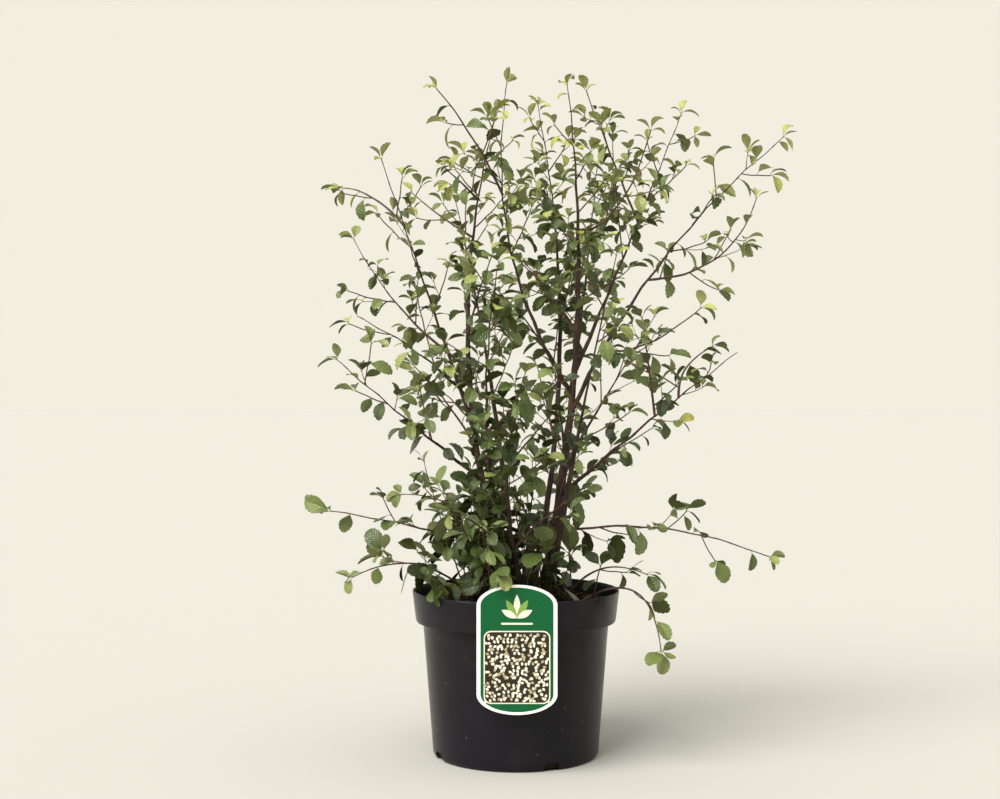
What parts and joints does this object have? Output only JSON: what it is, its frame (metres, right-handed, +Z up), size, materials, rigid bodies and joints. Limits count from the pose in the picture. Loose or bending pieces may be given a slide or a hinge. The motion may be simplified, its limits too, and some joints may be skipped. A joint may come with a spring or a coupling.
{
  "type": "potted spirea shrub",
  "caption": "Potted spirea shrub: a clump of thin upright stems with arching boughs and small green leaves, in a round plastic pot of compost with a hanging plant label.",
  "frame": {"origin": "centre of the pot's flat underside", "axes": "+Z up along the pot's axis, -Y to the front, where the label hangs, +X to the right seen from the front"},
  "size_m": [0.625, 0.5571, 0.9426],
  "materials": {
    "pot_plastic": "satin charcoal polypropylene",
    "compost": "moist dark compost with bark bits",
    "label_plastic": "printed card-thick plastic, green with a white border",
    "bark": "thin red-brown to grey-brown bark",
    "leaves_mid": "mid green leaf, slightly waxy",
    "leaves_fresh": "fresh green leaf, slightly waxy",
    "leaves_dark": "dark green leaf, slightly waxy",
    "leaves_bright": "young yellow-green leaf"
  },
  "bodies": {
    "root": {"pot": "pot_plastic", "compost": "compost", "label": "label_plastic", "stem_back": "bark", "stem_front": "bark", "stem_front_left": "bark", "stem_front_right": "bark", "stem_left": "bark", "stem_main": "bark", "stem_rear": "bark", "stem_rear_left": "bark", "bough_far_right": "bark", "bough_high": "bark", "bough_left_foot": "bark", "bough_left_high": "bark", "bough_left_low": "bark", "bough_left_mid": "bark", "bough_rear_low": "bark", "bough_rear_right": "bark", "bough_right_high": "bark", "bough_right_low": "bark", "foliage_back": "leaves_fresh", "foliage_far_right": "leaves_bright", "foliage_far_right_low": "leaves_dark", "foliage_front": "leaves_mid", "foliage_front_left": "leaves_bright", "foliage_front_right": "leaves_bright", "foliage_high": "leaves_mid", "foliage_inner_front": "leaves_dark", "foliage_inner_high": "leaves_bright", "foliage_inner_left": "leaves_bright", "foliage_inner_left_mid": "leaves_fresh", "foliage_inner_low": "leaves_bright", "foliage_inner_mid": "leaves_mid", "foliage_inner_rear": "leaves_mid", "foliage_inner_rear_left": "leaves_dark", "foliage_inner_right": "leaves_fresh", "foliage_left": "leaves_dark", "foliage_left_foot": "leaves_bright", "foliage_left_high": "leaves_mid", "foliage_left_low": "leaves_dark", "foliage_left_mid": "leaves_fresh", "foliage_low_front": "leaves_mid", "foliage_low_left": "leaves_fresh", "foliage_low_rear": "leaves_dark", "foliage_low_rear_left": "leaves_bright", "foliage_low_right": "leaves_mid", "foliage_main": "leaves_mid", "foliage_rear": "leaves_fresh", "foliage_rear_left": "leaves_dark", "foliage_rear_low": "leaves_fresh", "foliage_rear_right": "leaves_mid", "foliage_right_high": "leaves_dark", "foliage_right_low": "leaves_fresh", "foliage_rim_front": "leaves_mid", "foliage_rim_hanging": "leaves_bright", "foliage_rim_left": "leaves_fresh", "foliage_rim_rear": "leaves_fresh", "foliage_rim_right": "leaves_dark"}
  },
  "joints": []
}
